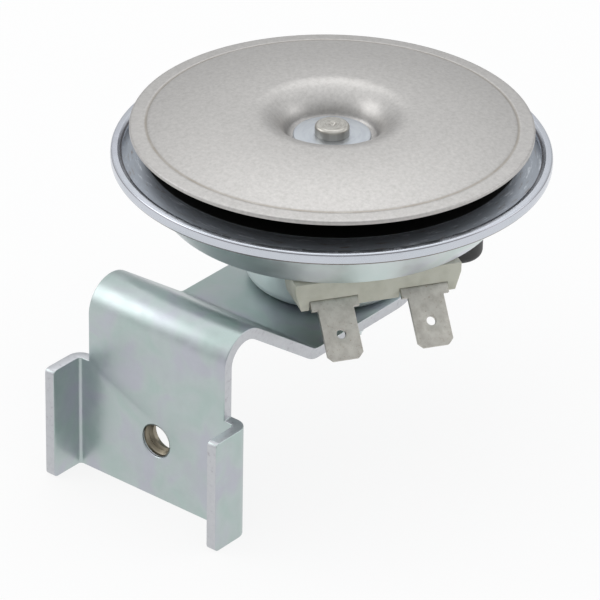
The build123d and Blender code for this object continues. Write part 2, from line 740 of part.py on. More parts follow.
# ====================================================== bracket fastening
washer_low_z = SHELF_Z - STRIP_T - LOCK_WASHER_T
with BuildPart() as lock_washer:
    with BuildSketch(axis_plane(washer_low_z)) as lock_ring:
        Circle(LOCK_WASHER_R)
        Circle(STUD_R + CLEAR, mode=Mode.SUBTRACT)
        with Locations((0, -LOCK_WASHER_R)):
            Rectangle(LOCK_WASHER_SPLIT, 2 * LOCK_WASHER_R, mode=Mode.SUBTRACT)
    extrude(amount=LOCK_WASHER_T)

with BuildPart() as bracket_nut:
    with BuildSketch(axis_plane(nut_z)) as nut_hexagon:
        RegularPolygon(NUT_AF / 2, 6, major_radius=False)
    extrude(amount=NUT_H)
    with BuildSketch(HALF) as nut_corners:
        with Locations((NUT_AF / 2 / cos(pi / 6), nut_z)):
            Rectangle(2 * NUT_CORNER, NUT_CORNER, rotation=-30)
        with Locations((NUT_AF / 2 / cos(pi / 6), nut_z + NUT_H)):
            Rectangle(2 * NUT_CORNER, NUT_CORNER, rotation=30)
    revolve(axis=HORN_AXIS, mode=Mode.SUBTRACT)
    with BuildSketch(axis_plane(nut_z)) as nut_bore:
        Circle(STUD_R + THREAD_CLEAR)
    extrude(amount=NUT_H, mode=Mode.SUBTRACT)

# ================================================================ export
pieces = {
    "bracket": bracket,
    "housing": housing,
    "diaphragm_gasket": diaphragm_gasket,
    "diaphragm": diaphragm,
    "disc_spacer": disc_spacer,
    "resonator_disc": resonator_disc,
    "disc_washer": disc_washer,
    "armature": armature,
    "pole_stud": pole_stud,
    "coil_bobbin": coil_bobbin,
    "coil_winding": coil_winding,
    "terminal_block": terminal_block,
    "terminal_blade_left": terminal_blade_left,
    "terminal_blade_right": terminal_blade_right,
    "terminal_rivets": terminal_rivets,
    "contact_base": contact_base,
    "fixed_contact_arm": fixed_contact_arm,
    "leaf_insulator": leaf_insulator,
    "contact_leaf": contact_leaf,
    "leaf_bead": leaf_bead,
    "contact_points": contact_points,
    "spark_resistor": spark_resistor,
    "adjusting_screw": adjusting_screw,
    "adjuster_cap": adjuster_cap,
    "lock_washer": lock_washer,
    "bracket_nut": bracket_nut,
}

for name, piece in pieces.items():
    piece.part.label = name
    export_step(piece.part, f"parts/{name}.step")
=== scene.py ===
"""Looks of an electric disc horn on its folded steel bracket.

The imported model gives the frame: the origin is the bracket's tapped mounting
hole, +Y runs back to the horn and +Z runs up the horn's axis.  Sizes in the
classes are millimetres and become metres where a mesh is made.
"""

import logging
from dataclasses import dataclass
from enum import Enum
from functools import cached_property
from math import cos, hypot, pi, radians, sin, sqrt, tan

import bmesh
import bpy
from mathutils import Matrix, Vector

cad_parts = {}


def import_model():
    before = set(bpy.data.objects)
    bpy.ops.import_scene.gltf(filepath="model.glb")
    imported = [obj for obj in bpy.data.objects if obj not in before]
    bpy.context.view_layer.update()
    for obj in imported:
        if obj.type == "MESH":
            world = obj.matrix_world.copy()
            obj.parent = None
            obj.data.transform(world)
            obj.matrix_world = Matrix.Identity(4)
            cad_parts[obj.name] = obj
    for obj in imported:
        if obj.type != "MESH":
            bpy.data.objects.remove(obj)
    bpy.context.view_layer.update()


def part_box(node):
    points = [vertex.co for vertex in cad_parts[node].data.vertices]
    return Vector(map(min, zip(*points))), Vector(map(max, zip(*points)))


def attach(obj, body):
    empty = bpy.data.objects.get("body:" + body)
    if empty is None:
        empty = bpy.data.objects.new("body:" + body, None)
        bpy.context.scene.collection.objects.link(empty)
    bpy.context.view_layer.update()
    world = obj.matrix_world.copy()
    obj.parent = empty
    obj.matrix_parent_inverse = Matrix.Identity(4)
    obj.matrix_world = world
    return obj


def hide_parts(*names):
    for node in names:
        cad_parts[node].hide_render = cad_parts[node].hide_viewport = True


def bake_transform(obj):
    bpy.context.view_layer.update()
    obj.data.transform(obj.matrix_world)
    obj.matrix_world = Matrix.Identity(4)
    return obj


LOG = logging.getLogger("disc_horn")
MM = 0.001
HORN_Y = 46.0

# Sockets of Blender's Mix node for colours, by index.
MIX_FACTOR, MIX_A, MIX_B, MIX_OUT = 0, 6, 7, 2

Point = tuple[float, float]
Corner = tuple[float, float, float]
Place = tuple[float, float, float]
Stops = list[tuple[float, str]]
Socket = bpy.types.NodeSocket
Node = bpy.types.Node
Tree = bpy.types.NodeTree
Material = bpy.types.Material
Piece = bpy.types.Object


class Body(Enum):
    """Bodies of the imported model."""

    CASING = "casing"
    VIBRATOR = "vibrator"


class Slot(Enum):
    """Names of material slots for new pieces; nothing in the script reads them."""

    ZINC = "zinc_steel"
    DISC = "disc_steel"
    NICKEL = "nickel_steel"
    LACQUER = "black_lacquer"
    TIN = "tinned_brass"
    NYLON = "cream_plastic"
    BLACK = "black_plastic"


# ------------------------------------------------------------------ shared
def linear(hex_code: str) -> tuple[float, float, float, float]:
    """Turns an sRGB hex colour to linear.

    Args:
        hex_code: colour as "#rrggbb".

    Returns:
        Red, green, blue and alpha in linear light.
    """
    shares = [int(hex_code[i:i + 2], 16) / 255 for i in (1, 3, 5)]
    light = [s / 12.92 if s <= 0.04045 else ((s + 0.055) / 1.055) ** 2.4 for s in shares]
    return (*light, 1.0)


def add_node(
    tree: Tree,
    kind: str,
    inputs: dict[str | int, object] | None = None,
    **settings: object,
) -> Node:
    """Adds a node with its settings, its values and its links.

    Args:
        tree: node tree that gets the node.
        kind: Blender's name for the node's type.
        inputs: a value, or an output socket to link, for each named input.
        settings: attributes of the node.

    Returns:
        The new node.
    """
    node = tree.nodes.new(kind)
    for name, value in settings.items():
        setattr(node, name, value)
    for key, value in (inputs or {}).items():
        if isinstance(value, Socket):
            tree.links.new(value, node.inputs[key])
        else:
            node.inputs[key].default_value = value
    return node


def start_tree(name: str, inputs: dict[str, str]) -> tuple[Tree, bpy.types.NodeOutputs]:
    """Starts a Geometry Nodes tree with named inputs.

    Args:
        name: name of the tree.
        inputs: name and kind of each input.

    Returns:
        The tree, and the sockets that give its inputs.
    """
    tree = bpy.data.node_groups.new(name, "GeometryNodeTree")
    for label, kind in inputs.items():
        tree.interface.new_socket(label, in_out="INPUT", socket_type="NodeSocket" + kind)
    tree.interface.new_socket("Piece", in_out="OUTPUT", socket_type="NodeSocketGeometry")
    return tree, add_node(tree, "NodeGroupInput").outputs


def end_tree(tree: Tree, shape: Socket, finish: Socket) -> Tree:
    """Ends a Geometry Nodes tree with real geometry in its finish.

    Args:
        tree: the tree.
        shape: the geometry so far.
        finish: the material.

    Returns:
        The tree.
    """
    real = add_node(tree, "GeometryNodeRealizeInstances", {"Geometry": shape})
    dressed = add_node(tree, "GeometryNodeSetMaterial", {
        "Geometry": real.outputs["Geometry"], "Material": finish,
    })
    add_node(tree, "NodeGroupOutput", {"Piece": dressed.outputs["Geometry"]})
    return tree


def rounded(corners: list[Corner], closed: bool = True, step: float = 9.0) -> list[Point]:
    """Outline with its corners rounded by arcs.

    Args:
        corners: x, y and rounding radius of each corner.
        closed: whether the last corner joins the first.
        step: largest turn between two points of an arc, in degrees.

    Returns:
        Points of the rounded outline.
    """
    points: list[Point] = []
    count = len(corners)
    for i, (x, y, radius) in enumerate(corners):
        here = Vector((x, y))
        if radius <= 0 or (not closed and i in (0, count - 1)):
            points.append((x, y))
            continue
        before = (Vector(corners[i - 1][:2]) - here).normalized()
        after = (Vector(corners[(i + 1) % count][:2]) - here).normalized()
        turn = pi - before.angle(after)
        reach = radius * tan(turn / 2)
        centre = here + (before + after).normalized() * (radius / cos(turn / 2))
        start = here + before * reach - centre
        side = 1 if before.cross(after) < 0 else -1
        steps = max(2, round(turn / radians(step)))
        for k in range(steps + 1):
            angle = side * turn * k / steps
            spun = Matrix.Rotation(angle, 2) @ start
            points.append((centre.x + spun.x, centre.y + spun.y))
    return points


def box_mm(node: str) -> tuple[Vector, Vector]:
    """Lowest and highest corner of a CAD node, in millimetres."""
    low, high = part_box(node)
    return low / MM, high / MM


def mesh_piece(name: str, mesh: bpy.types.Mesh) -> Piece:
    """Puts an object that holds a mesh at the origin.

    Args:
        name: name of the object.
        mesh: its mesh.

    Returns:
        The object.
    """
    piece = bpy.data.objects.new(name, mesh)
    bpy.context.scene.collection.objects.link(piece)
    return piece


def settle(piece: Piece, sharp: float = 35.0) -> Piece:
    """Turns a piece's modifiers into plain mesh and smooths its shading.

    Args:
        piece: object with live modifiers.
        sharp: edges that turn by more degrees than this stay sharp.

    Returns:
        The same object with its final mesh.
    """
    bpy.context.view_layer.update()
    graph = bpy.context.evaluated_depsgraph_get()
    mesh = bpy.data.meshes.new_from_object(piece.evaluated_get(graph))
    mesh.name = piece.name
    piece.modifiers.clear()
    piece.data = mesh
    mesh.shade_smooth()
    mesh.set_sharp_from_angle(angle=radians(sharp))
    return piece


def fix(piece: Piece, body: Body, slot: Slot, *nodes: str) -> Piece:
    """Puts a finished piece on its body, in place of CAD nodes.

    Args:
        piece: the finished object.
        body: body that it moves with.
        slot: slot of its finish; not used.
        nodes: CAD nodes that it stands for.

    Returns:
        The piece.
    """
    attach(piece, body.value)
    if nodes:
        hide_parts(*nodes)
    return piece


def run_tree(piece: Piece, tree: Tree, values: dict[str, object], sharp: float) -> Piece:
    """Shapes a piece with a Geometry Nodes tree and keeps the plain mesh.

    Args:
        piece: object that the tree works on.
        tree: the tree.
        values: value of each named input.
        sharp: edges that turn by more degrees than this stay sharp.

    Returns:
        The same object with its final mesh.
    """
    modifier = piece.modifiers.new("shape", "NODES")
    modifier.node_group = tree
    for socket in tree.interface.items_tree:
        if socket.name in values:
            modifier[socket.identifier] = values[socket.name]
    return settle(piece, sharp)


def refined_copy(name: str, node: str, bevel: float) -> Piece:
    """Copy of a CAD node with joined faces and finely rounded edges.

    Args:
        name: name of the new piece.
        node: CAD node to copy.
        bevel: width of the rounded edges, in millimetres.

    Returns:
        The new piece, as plain mesh.
    """
    joined, flat, edge_angle = 0.002 * MM, radians(0.5), radians(40.0)
    sheet = bmesh.new()
    sheet.from_mesh(bpy.data.objects[node].data)
    bmesh.ops.remove_doubles(sheet, verts=sheet.verts, dist=joined)
    bmesh.ops.dissolve_limit(sheet, angle_limit=flat, verts=sheet.verts, edges=sheet.edges)
    mesh = bpy.data.meshes.new(name)
    sheet.to_mesh(mesh)
    sheet.free()
    piece = mesh_piece(name, mesh)
    rounding = piece.modifiers.new("edges", "BEVEL")
    rounding.width = bevel * MM
    rounding.segments = 3
    rounding.limit_method = "ANGLE"
    rounding.angle_limit = edge_angle
    return settle(piece)


def dressed_copies(*rows: tuple[str, str, float, Material, Slot]) -> list[Piece]:
    """Refined copies of casing nodes, in their finishes and in the nodes' places.

    Args:
        rows: name, CAD node, width of the rounded edges in millimetres, material and
            slot of each piece.

    Returns:
        The new pieces.
    """
    pieces: list[Piece] = []
    for name, node, bevel, finish, slot in rows:
        piece = refined_copy(name, node, bevel)
        piece.data.materials.append(finish)
        pieces.append(fix(piece, Body.CASING, slot, node))
    return pieces


# ---------------------------------------------------------------- finishes
class Surface:
    """A material with a principled shader, while a finish draws on it."""

    def __init__(self, name: str, metallic: float, roughness: float) -> None:
        """Starts the material.

        Args:
            name: its name.
            metallic: 1 for a metal, 0 for anything else.
            roughness: roughness, where nothing drives it.
        """
        self.material: Material = bpy.data.materials.new(name)
        self.material.use_nodes = True
        self.tree: Tree = self.material.node_tree
        self.shader: Node = self.tree.nodes["Principled BSDF"]
        self.shader.inputs["Metallic"].default_value = metallic
        self.shader.inputs["Roughness"].default_value = roughness

    @cached_property
    def place(self) -> Socket:
        """Place in the shared frame, in metres."""
        return add_node(self.tree, "ShaderNodeTexCoord").outputs["Object"]

    @cached_property
    def from_axis(self) -> tuple[Socket, Socket]:
        """Flat vector from the horn's axis, and its length in metres."""
        flat = add_node(self.tree, "ShaderNodeMapping", {
            "Vector": self.place, "Location": (0, -HORN_Y * MM, 0), "Scale": (1, 1, 0),
        }).outputs["Vector"]
        length = add_node(self.tree, "ShaderNodeVectorMath", {0: flat}, operation="LENGTH")
        return flat, length.outputs["Value"]

    def round_axis(self, ring: float, arcs: float) -> Socket:
        """Coordinates that run round the horn's axis, with no seam.

        Args:
            ring: width of one ring, in millimetres.
            arcs: how often the pattern changes on the way round.

        Returns:
            Coordinates for a pattern of scale 1.
        """
        tree = self.tree
        flat, radius = self.from_axis
        around = add_node(tree, "ShaderNodeVectorMath", {0: flat}, operation="NORMALIZE")
        swept = add_node(tree, "ShaderNodeVectorMath", {
            0: around.outputs["Vector"], "Scale": arcs,
        }, operation="SCALE")
        rings = add_node(tree, "ShaderNodeMath", {
            0: radius, 1: ring * MM,
        }, operation="DIVIDE")
        lifted = add_node(tree, "ShaderNodeCombineXYZ", {"Z": rings.outputs["Value"]})
        return add_node(tree, "ShaderNodeVectorMath", {
            0: swept.outputs["Vector"], 1: lifted.outputs["Vector"],
        }, operation="ADD").outputs["Vector"]

    def near(self, value: Socket, at: float, core: float, reach: float) -> Socket:
        """Share that is 1 where a distance is about right and falls off on both sides.

        Args:
            value: the distance, in metres.
            at: the right distance, in millimetres.
            core: how far off it still counts in full.
            reach: how far off it stops counting.

        Returns:
            The share.
        """
        away = add_node(self.tree, "ShaderNodeMath", {
            0: value, 1: at * MM,
        }, operation="SUBTRACT")
        off = add_node(self.tree, "ShaderNodeMath", {
            0: away.outputs["Value"],
        }, operation="ABSOLUTE")
        return add_node(self.tree, "ShaderNodeMapRange", {
            "Value": off.outputs["Value"], "From Min": core * MM, "From Max": reach * MM,
            "To Min": 1.0, "To Max": 0.0,
        }).outputs["Result"]

    def patches(
        self, where: Socket, size: float, detail: float, roughness: float,
        stops: Stops, warp: float = 0.0,
    ) -> tuple[Socket, Socket]:
        """Colours that change in soft patches.

        Args:
            where: coordinates of the pattern.
            size: size of a patch, in the units of the coordinates.
            detail: how many finer layers the patches have.
            roughness: strength of the finer layers.
            stops: place and sRGB hex value of each colour, in order.
            warp: how far the patches are drawn out of shape.

        Returns:
            The colour, and the bare pattern.
        """
        pattern = add_node(self.tree, "ShaderNodeTexNoise", {
            "Vector": where, "Scale": 1 / size, "Detail": detail, "Roughness": roughness,
            "Distortion": warp,
        }).outputs["Fac"]
        node = add_node(self.tree, "ShaderNodeValToRGB", {"Fac": pattern})
        ramp = node.color_ramp
        while len(ramp.elements) < len(stops):
            ramp.elements.new(1.0)
        for element, (place, hex_code) in zip(ramp.elements, stops):
            element.position = place
            element.color = linear(hex_code)
        return node.outputs["Color"], pattern

    def lay(
        self, colour: Socket | None, relief: Socket, depth: float, strength: float = 0.5
    ) -> Material:
        """Lays a colour and a fine relief on the shader.

        Args:
            colour: the colour, or None where the shader's own socket holds it.
            relief: height of the relief.
            depth: depth of the relief, in millimetres.
            strength: share of the relief that shows.

        Returns:
            The finished material.
        """
        bump = add_node(self.tree, "ShaderNodeBump", {
            "Strength": strength, "Distance": depth * MM, "Height": relief,
        })
        if colour is not None:
            self.tree.links.new(colour, self.shader.inputs["Base Color"])
        self.tree.links.new(bump.outputs["Normal"], self.shader.inputs["Normal"])
        return self.material


@dataclass(frozen=True)
class Finish:
    """What every finish has: a name, and its own way to make the material."""

    name: str

    def build(self) -> Material:
        """Makes the material."""
        raise NotImplementedError(self.name)


@dataclass(frozen=True)
class ZincPlate(Finish):
    """Bright zinc on pressed steel with a clear blue passivation.

    The plating is mirror-like but grainy over the rolled sheet, and the
    passivation film tints it in soft lilac and green patches.
    """

    plain: str = "#b6c0c0"
    lilac: str = "#b7bac2"
    green: str = "#b0bfbc"
    patch: float = 9.0
    cloud: float = 0.055
    cloud_size: float = 3.0
    grain: float = 0.45
    depth: float = 0.012
    roughness: float = 0.27
    smoother: float = 0.05
    duller: float = 0.10

    def build(self) -> Material:
        """Makes the material."""
        face = Surface(self.name, 1.0, self.roughness)
        tree, place = face.tree, face.place
        tint, _ = face.patches(place, self.patch * MM, 2.0, 0.45, [
            (0.34, self.green), (0.5, self.plain), (0.66, self.lilac),
        ], warp=0.6)
        grain, clouds = (
            add_node(tree, "ShaderNodeTexNoise", {
                "Vector": place, "Scale": 1 / (size * MM), "Detail": detail, "Roughness": rough,
            }).outputs["Fac"]
            for size, detail, rough in ((self.grain, 4.0, 0.6), (self.cloud_size, 5.0, 0.65))
        )
        shade, polish = (
            add_node(tree, "ShaderNodeMapRange", {
                "Value": clouds, "From Min": 0.3, "From Max": 0.7, "To Min": low, "To Max": high,
            }).outputs["Result"]
            for low, high in (
                (1 - self.cloud, 1 + self.cloud),
                (self.roughness - self.smoother, self.roughness + self.duller),
            )
        )
        shaded = add_node(tree, "ShaderNodeVectorMath", {
            0: tint, "Scale": shade,
        }, operation="SCALE")
        colour, rough = self.worked(face, shaded.outputs["Vector"], polish)
        tree.links.new(rough, face.shader.inputs["Roughness"])
        return face.lay(colour, grain, self.depth)

    def worked(self, face: Surface, colour: Socket, rough: Socket) -> tuple[Socket, Socket]:
        """Changes the plating where the sheet was worked; plain strip stays as it is."""
        return colour, rough


@dataclass(frozen=True)
class RimmedZinc(ZincPlate):
    """Zinc of the drawn housing.

    The rolled rim is burnished and lilac, with a fine dark line of painted shade under
    its land and a brownish one of painted shade at its foot; the bowl below is satin.
    """

    rim_z: float = 35.9
    rim: str = "#c3c6d0"
    rim_share: float = 0.8
    # Painted shade: a thin dark line under the rim's land, where the crease is.
    crease_shade: str = "#96959b"
    crease_shade_rise: float = 1.66
    # Painted shade: a brownish dark line at the rim's foot, along the seam.
    foot: str = "#857d78"
    foot_shade_rise: float = 0.02
    satin: float = 0.28
    burnish: float = -0.05

    def worked(self, face: Surface, colour: Socket, rough: Socket) -> tuple[Socket, Socket]:
        """Adds the rim's tint, its two painted shade lines and the bowl's satin.

        Args:
            face: the material so far.
            colour: colour of the plain plating.
            rough: its roughness.

        Returns:
            Colour and roughness of the housing.
        """
        tree = face.tree
        height = add_node(tree, "ShaderNodeSeparateXYZ", {"Vector": face.place}).outputs["Z"]
        rim = add_node(tree, "ShaderNodeMapRange", {
            "Value": height, "From Min": (self.rim_z - 0.1) * MM,
            "From Max": (self.rim_z + 0.1) * MM,
        }).outputs["Result"]
        share = add_node(tree, "ShaderNodeMath", {
            0: rim, 1: self.rim_share,
        }, operation="MULTIPLY")
        # The rim's tint, then painted shade lines under the land and at the foot.
        for amount, hex_code in (
            (share.outputs["Value"], self.rim),
            (face.near(height, self.rim_z + self.crease_shade_rise, 0.04, 0.12), self.crease_shade),
            (face.near(height, self.rim_z + self.foot_shade_rise, 0.1, 0.22), self.foot),
        ):
            colour = add_node(tree, "ShaderNodeMix", {
                MIX_FACTOR: amount, MIX_A: colour, MIX_B: linear(hex_code),
            }, data_type="RGBA").outputs[MIX_OUT]
        change = add_node(tree, "ShaderNodeMapRange", {
            "Value": rim, "To Min": self.satin, "To Max": self.burnish,
        })
        total = add_node(tree, "ShaderNodeMath", {0: rough, 1: change.outputs["Result"]})
        return colour, total.outputs["Value"]


@dataclass(frozen=True)
class ShearedEdge(Finish):
    """Cut edge of zinc-plated strip: a dull face with a fine torn band."""

    torn: str = "#a5a3a8"
    sheared: str = "#bfc1c5"
    bright: str = "#c8cacd"
    tear: float = 0.8
    depth: float = 0.012
    roughness: float = 0.42

    def build(self) -> Material:
        """Makes the material."""
        face = Surface(self.name, 1.0, self.roughness)
        colour, tearing = face.patches(face.place, self.tear * MM, 5.0, 0.7, [
            (0.28, self.torn), (0.40, self.sheared), (0.8, self.bright),
        ])
        return face.lay(colour, tearing, self.depth)


@dataclass(frozen=True)
class SatinDisc(Finish):
    """Resonator disc: pressed steel, tumbled and zinc-plated to a warm satin.

    Its pressed ring holds a little brown grime, uneven on the way round.
    """

    light: str = "#c4c2bf"
    plain: str = "#b9b7b5"
    dark: str = "#adaba8"
    groove: str = "#8f8678"
    mottle: float = 0.7
    grain: float = 0.4
    depth: float = 0.02
    groove_at: float = 31.9
    groove_wide: float = 0.32
    roughness: float = 0.44

    def build(self) -> Material:
        """Makes the material."""
        face = Surface(self.name, 1.0, self.roughness)
        colour, _ = face.patches(face.place, self.mottle * MM, 6.0, 0.75, [
            (0.3, self.dark), (0.5, self.plain), (0.72, self.light),
        ])
        _, radius = face.from_axis
        uneven = add_node(face.tree, "ShaderNodeTexNoise", {
            "Vector": face.round_axis(4.0, 5.0), "Scale": 1.0, "Detail": 4.0,
        })
        grime = add_node(face.tree, "ShaderNodeMath", {
            0: face.near(radius, self.groove_at, 0.1, self.groove_wide),
            1: uneven.outputs["Fac"],
        }, operation="MULTIPLY")
        grimy = add_node(face.tree, "ShaderNodeMix", {
            MIX_FACTOR: grime.outputs["Value"], MIX_A: colour, MIX_B: linear(self.groove),
        }, data_type="RGBA")
        grain = add_node(face.tree, "ShaderNodeTexNoise", {
            "Vector": face.place, "Scale": 1 / (self.grain * MM), "Detail": 3.0,
            "Roughness": 0.6,
        })
        return face.lay(grimy.outputs[MIX_OUT], grain.outputs["Fac"], self.depth, 0.7)


@dataclass(frozen=True)
class SpringSteel(Finish):
    """Diaphragm: blued spring steel at the margin; inside, black lacquer and painted shade.

    The margin's round scratches are drawn coarser than real, or none would show.
    """

    blued: str = "#a3a9b1"
    scratch: str = "#dfe4ea"
    rust: str = "#857d76"
    # Matt black inside the margin: lacquer, and painted shade of the gap under the disc.
    lacquer_and_shade: str = "#050505"
    lacquer_and_shade_shine: float = 0.15
    lacquer_and_shade_rough: float = 0.6
    margin: float = 32.35
    scratch_wide: float = 0.5
    depth: float = 0.006
    roughness: float = 0.38

    def build(self) -> Material:
        """Makes the material."""
        face = Surface(self.name, 1.0, self.roughness)
        tree, inputs = face.tree, face.shader.inputs
        inputs["Specular IOR Level"].default_value = self.lacquer_and_shade_shine
        rings = face.round_axis(self.scratch_wide, 7.0)
        steel, scratches = face.patches(rings, 1.0, 5.0, 0.7, [
            (0.30, self.rust), (0.42, self.blued), (0.56, self.blued), (0.70, self.scratch),
        ])
        _, radius = face.from_axis
        inside = add_node(tree, "ShaderNodeMapRange", {
            "Value": radius, "From Min": (self.margin - 0.1) * MM,
            "From Max": (self.margin + 0.1) * MM, "To Min": 1.0, "To Max": 0.0,
        }).outputs["Result"]
        bare = add_node(tree, "ShaderNodeMath", {0: 1.0, 1: inside}, operation="SUBTRACT")
        tree.links.new(bare.outputs["Value"], inputs["Metallic"])
        gloss = add_node(tree, "ShaderNodeMapRange", {
            "Value": inside, "To Min": self.roughness, "To Max": self.lacquer_and_shade_rough,
        })
        tree.links.new(gloss.outputs["Result"], inputs["Roughness"])
        # Inside the margin the steel gives way to black lacquer and painted shade.
        colour = add_node(tree, "ShaderNodeMix", {
            MIX_FACTOR: inside, MIX_A: steel, MIX_B: linear(self.lacquer_and_shade),
        }, data_type="RGBA")
        return face.lay(colour.outputs[MIX_OUT], scratches, self.depth, 0.4)


@dataclass(frozen=True)
class TurnedMetal(Finish):
    """Turned or stamped steel, nickel-plated, with faint rings."""

    plain: str = "#bcbab4"
    dark: str = "#a09d97"
    ring: float = 0.25
    depth: float = 0.01
    roughness: float = 0.3

    def build(self) -> Material:
        """Makes the material."""
        face = Surface(self.name, 1.0, self.roughness)
        colour, rings = face.patches(face.round_axis(self.ring, 2.0), 1.0, 3.0, 0.5, [
            (0.35, self.dark), (0.6, self.plain),
        ])
        return face.lay(colour, rings, self.depth)


@dataclass(frozen=True)
class TinnedBrass(Finish):
    """Tab terminals: stamped brass, matt tin, with brown specks of handling."""

    tin: str = "#c1bfb8"
    shade: str = "#b0ada6"
    speck: str = "#968779"
    cloud: float = 1.6
    speck_size: float = 0.35
    speck_share: float = 0.7
    depth: float = 0.02
    roughness: float = 0.46

    def build(self) -> Material:
        """Makes the material."""
        face = Surface(self.name, 1.0, self.roughness)
        colour, _ = face.patches(face.place, self.cloud * MM, 5.0, 0.6, [
            (0.35, self.shade), (0.6, self.tin),
        ])
        specks = add_node(face.tree, "ShaderNodeTexNoise", {
            "Vector": face.place, "Scale": 1 / (self.speck_size * MM), "Detail": 3.0,
            "Roughness": 0.6,
        }).outputs["Fac"]
        sparse = add_node(face.tree, "ShaderNodeMapRange", {
            "Value": specks, "From Min": 0.62, "From Max": 0.70, "To Max": self.speck_share,
        })
        speckled = add_node(face.tree, "ShaderNodeMix", {
            MIX_FACTOR: sparse.outputs["Result"], MIX_A: colour, MIX_B: linear(self.speck),
        }, data_type="RGBA")
        return face.lay(speckled.outputs[MIX_OUT], specks, self.depth)


@dataclass(frozen=True)
class Moulding(Finish):
    """Moulded plastic: even, slightly cloudy, with a fine spark-eroded grain."""

    plain: str = "#c6c6b9"
    shade: str = "#bbbbad"
    roughness: float = 0.5
    glow: float = 0.0
    glow_reach: tuple[float, float, float] = (0.9, 0.8, 0.6)
    cloud: float = 2.5
    grain: float = 0.3
    depth: float = 0.01

    def build(self) -> Material:
        """Makes the material."""
        face = Surface(self.name, 0.0, self.roughness)
        colour, _ = face.patches(face.place, self.cloud * MM, 3.0, 0.5, [
            (0.35, self.shade), (0.6, self.plain),
        ])
        face.shader.inputs["Subsurface Weight"].default_value = self.glow
        face.shader.inputs["Subsurface Radius"].default_value = self.glow_reach
        face.shader.inputs["Subsurface Scale"].default_value = MM
        grain = add_node(face.tree, "ShaderNodeTexNoise", {
            "Vector": face.place, "Scale": 1 / (self.grain * MM), "Detail": 2.0,
        })
        return face.lay(colour, grain.outputs["Fac"], self.depth, 0.4)


@dataclass(frozen=True)
class WoundWire(Finish):
    """Coil of enamelled copper wire, its turns drawn as fine ridges."""

    copper: str = "#b5703c"
    wire: float = 0.5
    depth: float = 0.1
    roughness: float = 0.35

    def build(self) -> Material:
        """Makes the material; a wave of scale pi / 10 has one band in each unit."""
        face = Surface(self.name, 1.0, self.roughness)
        face.shader.inputs["Base Color"].default_value = linear(self.copper)
        turns = add_node(face.tree, "ShaderNodeTexWave", {
            "Vector": face.place, "Scale": pi / 10 / (self.wire * MM),
        }, bands_direction="Z")
        return face.lay(None, turns.outputs["Fac"], self.depth, 1.0)


# ------------------------------------------------------------ turned pieces
@dataclass(frozen=True)
class Turning:
    """A closed section turned about the horn's axis by Geometry Nodes."""

    segments: int = 224
    drive_radius: float = 20.0
    weld: float = 0.001

    def tree(self) -> Tree:
        """Returns the node tree, which all turned pieces share."""
        found = bpy.data.node_groups.get("turned_about_axis")
        if found:
            return found
        tree, given = start_tree("turned_about_axis", {
            "Section": "Geometry", "Segments": "Int", "Drive Radius": "Float",
            "Axis": "Vector", "Weld": "Float", "Finish": "Material",
        })
        section = add_node(tree, "GeometryNodeMeshToCurve", {0: given["Section"]})
        path = add_node(tree, "GeometryNodeCurvePrimitiveCircle", {
            "Resolution": given["Segments"], "Radius": given["Drive Radius"],
        })
        swept = add_node(tree, "GeometryNodeCurveToMesh", {
            "Curve": path.outputs["Curve"], "Profile Curve": section.outputs["Curve"],
        })
        moved = add_node(tree, "GeometryNodeTransform", {
            "Geometry": swept.outputs["Mesh"], "Translation": given["Axis"],
        })
        welded = add_node(tree, "GeometryNodeMergeByDistance", {
            "Geometry": moved.outputs["Geometry"], "Distance": given["Weld"],
        })
        return end_tree(tree, welded.outputs["Geometry"], given["Finish"])

    def make(
        self, name: str, section: list[Point], finish: Material, sharp: float = 35.0
    ) -> Piece:
        """Turns a section.

        Args:
            name: name of the piece.
            section: radius and height of the closed section's points, in millimetres.
            finish: its material.
            sharp: edges that turn by more degrees than this stay sharp.

        Returns:
            The finished piece.
        """
        area = sum(
            a[0] * b[1] - b[0] * a[1] for a, b in zip(section, section[1:] + section[:1])
        )
        ordered = section if area < 0 else section[::-1]
        places = [((r - self.drive_radius) * MM, -z * MM, 0) for r, z in ordered]
        edges = [(i, (i + 1) % len(places)) for i in range(len(places))]
        mesh = bpy.data.meshes.new(name)
        mesh.from_pydata(places, edges, [])
        return run_tree(mesh_piece(name, mesh), self.tree(), {
            "Segments": self.segments,
            "Drive Radius": self.drive_radius * MM,
            "Axis": (0.0, HORN_Y * MM, 0.0),
            "Weld": self.weld * MM,
            "Finish": finish,
        }, sharp)


